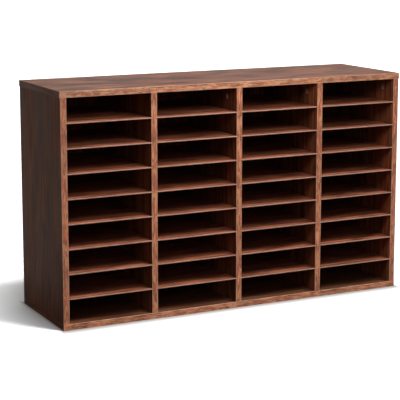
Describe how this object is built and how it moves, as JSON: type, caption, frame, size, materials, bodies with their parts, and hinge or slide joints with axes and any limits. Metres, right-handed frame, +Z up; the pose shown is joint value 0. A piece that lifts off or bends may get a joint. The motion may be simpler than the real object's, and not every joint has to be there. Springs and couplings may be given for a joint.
{
  "type": "pigeonhole mail sorter",
  "caption": "Open-fronted wood-look case of upright boards, with thin shelves in grooves that form a grid of letter-size pigeonholes for mail and papers.",
  "frame": {"origin": "on the surface the case stands on, under the middle of its overall box", "axes": "+X to the right seen from the open front, +Y from the open front towards the back panel, +Z up"},
  "size_m": [0.997, 0.2984, 0.604],
  "materials": {
    "board_foil": "dark brown wood-look foil on fibreboard, satin, with a streaked grain",
    "edge_band": "brown wood-look edge band, satin",
    "shelf_board": "brown wood-look thin fibreboard with a paler front edge, satin",
    "back_board": "thin dark brown hardboard, matt",
    "zinc_cam": "die-cast zinc, dull",
    "steel_bolt": "zinc-plated steel",
    "steel_screw": "zinc-plated steel",
    "steel_nail": "bright steel",
    "beech_dowel": "plain beech, unfinished"
  },
  "bodies": {
    "case": {"top_panel": "board_foil", "bottom_panel": "board_foil", "left_side_panel": "board_foil", "divider_1_panel": "board_foil", "divider_2_panel": "board_foil", "divider_3_panel": "board_foil", "right_side_panel": "board_foil", "top_front_band": "edge_band", "bottom_front_band": "edge_band", "end_bands": "edge_band", "left_side_front_band": "edge_band", "divider_1_front_band": "edge_band", "divider_2_front_band": "edge_band", "divider_3_front_band": "edge_band", "right_side_front_band": "edge_band", "back_panel": "back_board", "back_nails": "steel_nail", "cam_locks": "zinc_cam", "cam_bolts": "steel_bolt", "dowels": "beech_dowel", "bottom_screws": "steel_screw"},
    "shelf_column_1_row_1": {"shelf_column_1_row_1": "shelf_board"},
    "shelf_column_1_row_2": {"shelf_column_1_row_2": "shelf_board"},
    "shelf_column_1_row_3": {"shelf_column_1_row_3": "shelf_board"},
    "shelf_column_1_row_4": {"shelf_column_1_row_4": "shelf_board"},
    "shelf_column_1_row_5": {"shelf_column_1_row_5": "shelf_board"},
    "shelf_column_1_row_6": {"shelf_column_1_row_6": "shelf_board"},
    "shelf_column_1_row_7": {"shelf_column_1_row_7": "shelf_board"},
    "shelf_column_1_row_8": {"shelf_column_1_row_8": "shelf_board"},
    "shelf_column_2_row_1": {"shelf_column_2_row_1": "shelf_board"},
    "shelf_column_2_row_2": {"shelf_column_2_row_2": "shelf_board"},
    "shelf_column_2_row_3": {"shelf_column_2_row_3": "shelf_board"},
    "shelf_column_2_row_4": {"shelf_column_2_row_4": "shelf_board"},
    "shelf_column_2_row_5": {"shelf_column_2_row_5": "shelf_board"},
    "shelf_column_2_row_6": {"shelf_column_2_row_6": "shelf_board"},
    "shelf_column_2_row_7": {"shelf_column_2_row_7": "shelf_board"},
    "shelf_column_2_row_8": {"shelf_column_2_row_8": "shelf_board"},
    "shelf_column_3_row_1": {"shelf_column_3_row_1": "shelf_board"},
    "shelf_column_3_row_2": {"shelf_column_3_row_2": "shelf_board"},
    "shelf_column_3_row_3": {"shelf_column_3_row_3": "shelf_board"},
    "shelf_column_3_row_4": {"shelf_column_3_row_4": "shelf_board"},
    "shelf_column_3_row_5": {"shelf_column_3_row_5": "shelf_board"},
    "shelf_column_3_row_6": {"shelf_column_3_row_6": "shelf_board"},
    "shelf_column_3_row_7": {"shelf_column_3_row_7": "shelf_board"},
    "shelf_column_3_row_8": {"shelf_column_3_row_8": "shelf_board"},
    "shelf_column_4_row_1": {"shelf_column_4_row_1": "shelf_board"},
    "shelf_column_4_row_2": {"shelf_column_4_row_2": "shelf_board"},
    "shelf_column_4_row_3": {"shelf_column_4_row_3": "shelf_board"},
    "shelf_column_4_row_4": {"shelf_column_4_row_4": "shelf_board"},
    "shelf_column_4_row_5": {"shelf_column_4_row_5": "shelf_board"},
    "shelf_column_4_row_6": {"shelf_column_4_row_6": "shelf_board"},
    "shelf_column_4_row_7": {"shelf_column_4_row_7": "shelf_board"},
    "shelf_column_4_row_8": {"shelf_column_4_row_8": "shelf_board"}
  },
  "joints": [
    {"name": "shelf_column_1_row_1_slide", "type": "slide", "parent": "case", "child": "shelf_column_1_row_1", "axis": [0, -1, 0], "range_m": [0, 0.269]},
    {"name": "shelf_column_1_row_2_slide", "type": "slide", "parent": "case", "child": "shelf_column_1_row_2", "axis": [0, -1, 0], "range_m": [0, 0.269]},
    {"name": "shelf_column_1_row_3_slide", "type": "slide", "parent": "case", "child": "shelf_column_1_row_3", "axis": [0, -1, 0], "range_m": [0, 0.269]},
    {"name": "shelf_column_1_row_4_slide", "type": "slide", "parent": "case", "child": "shelf_column_1_row_4", "axis": [0, -1, 0], "range_m": [0, 0.269]},
    {"name": "shelf_column_1_row_5_slide", "type": "slide", "parent": "case", "child": "shelf_column_1_row_5", "axis": [0, -1, 0], "range_m": [0, 0.269]},
    {"name": "shelf_column_1_row_6_slide", "type": "slide", "parent": "case", "child": "shelf_column_1_row_6", "axis": [0, -1, 0], "range_m": [0, 0.269]},
    {"name": "shelf_column_1_row_7_slide", "type": "slide", "parent": "case", "child": "shelf_column_1_row_7", "axis": [0, -1, 0], "range_m": [0, 0.269]},
    {"name": "shelf_column_1_row_8_slide", "type": "slide", "parent": "case", "child": "shelf_column_1_row_8", "axis": [0, -1, 0], "range_m": [0, 0.269]},
    {"name": "shelf_column_2_row_1_slide", "type": "slide", "parent": "case", "child": "shelf_column_2_row_1", "axis": [0, -1, 0], "range_m": [0, 0.269]},
    {"name": "shelf_column_2_row_2_slide", "type": "slide", "parent": "case", "child": "shelf_column_2_row_2", "axis": [0, -1, 0], "range_m": [0, 0.269]},
    {"name": "shelf_column_2_row_3_slide", "type": "slide", "parent": "case", "child": "shelf_column_2_row_3", "axis": [0, -1, 0], "range_m": [0, 0.269]},
    {"name": "shelf_column_2_row_4_slide", "type": "slide", "parent": "case", "child": "shelf_column_2_row_4", "axis": [0, -1, 0], "range_m": [0, 0.269]},
    {"name": "shelf_column_2_row_5_slide", "type": "slide", "parent": "case", "child": "shelf_column_2_row_5", "axis": [0, -1, 0], "range_m": [0, 0.269]},
    {"name": "shelf_column_2_row_6_slide", "type": "slide", "parent": "case", "child": "shelf_column_2_row_6", "axis": [0, -1, 0], "range_m": [0, 0.269]},
    {"name": "shelf_column_2_row_7_slide", "type": "slide", "parent": "case", "child": "shelf_column_2_row_7", "axis": [0, -1, 0], "range_m": [0, 0.269]},
    {"name": "shelf_column_2_row_8_slide", "type": "slide", "parent": "case", "child": "shelf_column_2_row_8", "axis": [0, -1, 0], "range_m": [0, 0.269]},
    {"name": "shelf_column_3_row_1_slide", "type": "slide", "parent": "case", "child": "shelf_column_3_row_1", "axis": [0, -1, 0], "range_m": [0, 0.269]},
    {"name": "shelf_column_3_row_2_slide", "type": "slide", "parent": "case", "child": "shelf_column_3_row_2", "axis": [0, -1, 0], "range_m": [0, 0.269]},
    {"name": "shelf_column_3_row_3_slide", "type": "slide", "parent": "case", "child": "shelf_column_3_row_3", "axis": [0, -1, 0], "range_m": [0, 0.269]},
    {"name": "shelf_column_3_row_4_slide", "type": "slide", "parent": "case", "child": "shelf_column_3_row_4", "axis": [0, -1, 0], "range_m": [0, 0.269]},
    {"name": "shelf_column_3_row_5_slide", "type": "slide", "parent": "case", "child": "shelf_column_3_row_5", "axis": [0, -1, 0], "range_m": [0, 0.269]},
    {"name": "shelf_column_3_row_6_slide", "type": "slide", "parent": "case", "child": "shelf_column_3_row_6", "axis": [0, -1, 0], "range_m": [0, 0.269]},
    {"name": "shelf_column_3_row_7_slide", "type": "slide", "parent": "case", "child": "shelf_column_3_row_7", "axis": [0, -1, 0], "range_m": [0, 0.269]},
    {"name": "shelf_column_3_row_8_slide", "type": "slide", "parent": "case", "child": "shelf_column_3_row_8", "axis": [0, -1, 0], "range_m": [0, 0.269]},
    {"name": "shelf_column_4_row_1_slide", "type": "slide", "parent": "case", "child": "shelf_column_4_row_1", "axis": [0, -1, 0], "range_m": [0, 0.269]},
    {"name": "shelf_column_4_row_2_slide", "type": "slide", "parent": "case", "child": "shelf_column_4_row_2", "axis": [0, -1, 0], "range_m": [0, 0.269]},
    {"name": "shelf_column_4_row_3_slide", "type": "slide", "parent": "case", "child": "shelf_column_4_row_3", "axis": [0, -1, 0], "range_m": [0, 0.269]},
    {"name": "shelf_column_4_row_4_slide", "type": "slide", "parent": "case", "child": "shelf_column_4_row_4", "axis": [0, -1, 0], "range_m": [0, 0.269]},
    {"name": "shelf_column_4_row_5_slide", "type": "slide", "parent": "case", "child": "shelf_column_4_row_5", "axis": [0, -1, 0], "range_m": [0, 0.269]},
    {"name": "shelf_column_4_row_6_slide", "type": "slide", "parent": "case", "child": "shelf_column_4_row_6", "axis": [0, -1, 0], "range_m": [0, 0.269]},
    {"name": "shelf_column_4_row_7_slide", "type": "slide", "parent": "case", "child": "shelf_column_4_row_7", "axis": [0, -1, 0], "range_m": [0, 0.269]},
    {"name": "shelf_column_4_row_8_slide", "type": "slide", "parent": "case", "child": "shelf_column_4_row_8", "axis": [0, -1, 0], "range_m": [0, 0.269]}
  ]
}
